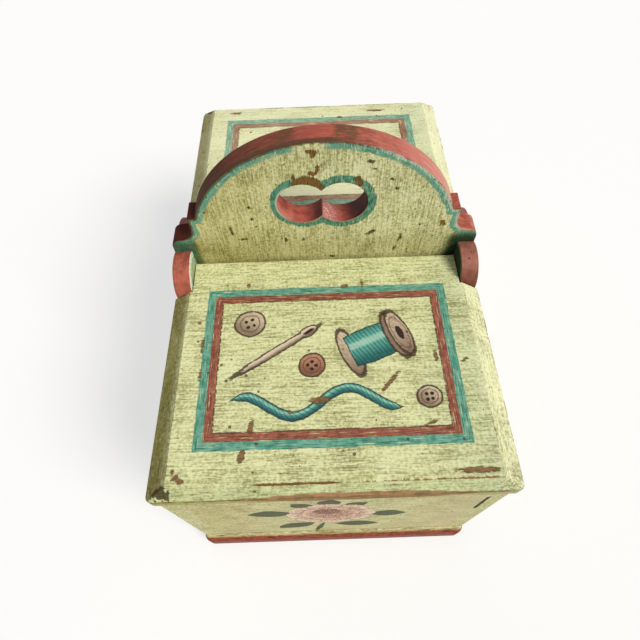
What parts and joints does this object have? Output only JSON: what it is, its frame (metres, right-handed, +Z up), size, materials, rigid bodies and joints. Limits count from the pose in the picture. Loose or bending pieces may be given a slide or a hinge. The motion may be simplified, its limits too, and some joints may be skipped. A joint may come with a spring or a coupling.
{
  "type": "sewing carrier",
  "caption": "Painted wooden sewing carrier: an oblong case on a moulded base, split by an arched handle board with a finger hole, under lids hinged on wooden pins between rounded ears.",
  "frame": {"origin": "middle of the underside of the base, on the surface that the carrier stands on", "axes": "+X to the right across the carrier, seen from the front lid; +Y from the front lid towards the rear lid; +Z up, through the handle board"},
  "size_m": [0.254, 0.416, 0.3241],
  "materials": {
    "painted_wood": "worn matt paint over pine",
    "edge_red": "worn matt paint over pine",
    "pin_wood": "turned dowel, painted at its end",
    "nail_steel": "dull wire nail"
  },
  "bodies": {
    "case": {"base_board": "edge_red", "left_side": "painted_wood", "right_side": "painted_wood", "front_panel": "painted_wood", "rear_panel": "painted_wood", "handle_board": "painted_wood", "front_hinge_pins": "pin_wood", "rear_hinge_pins": "pin_wood", "corner_nails": "nail_steel", "divider_nails": "nail_steel", "base_nails": "nail_steel"},
    "front_lid": {"front_lid": "painted_wood"},
    "rear_lid": {"rear_lid": "painted_wood"}
  },
  "joints": [
    {"name": "front_lid_hinge", "type": "hinge", "parent": "case", "child": "front_lid", "pos_m": [0, -0.0183, 0.1998], "axis": [-1, 0, 0], "range_deg": [0, 91]},
    {"name": "rear_lid_hinge", "type": "hinge", "parent": "case", "child": "rear_lid", "pos_m": [0, 0.0183, 0.1998], "axis": [1, 0, 0], "range_deg": [0, 91]}
  ]
}
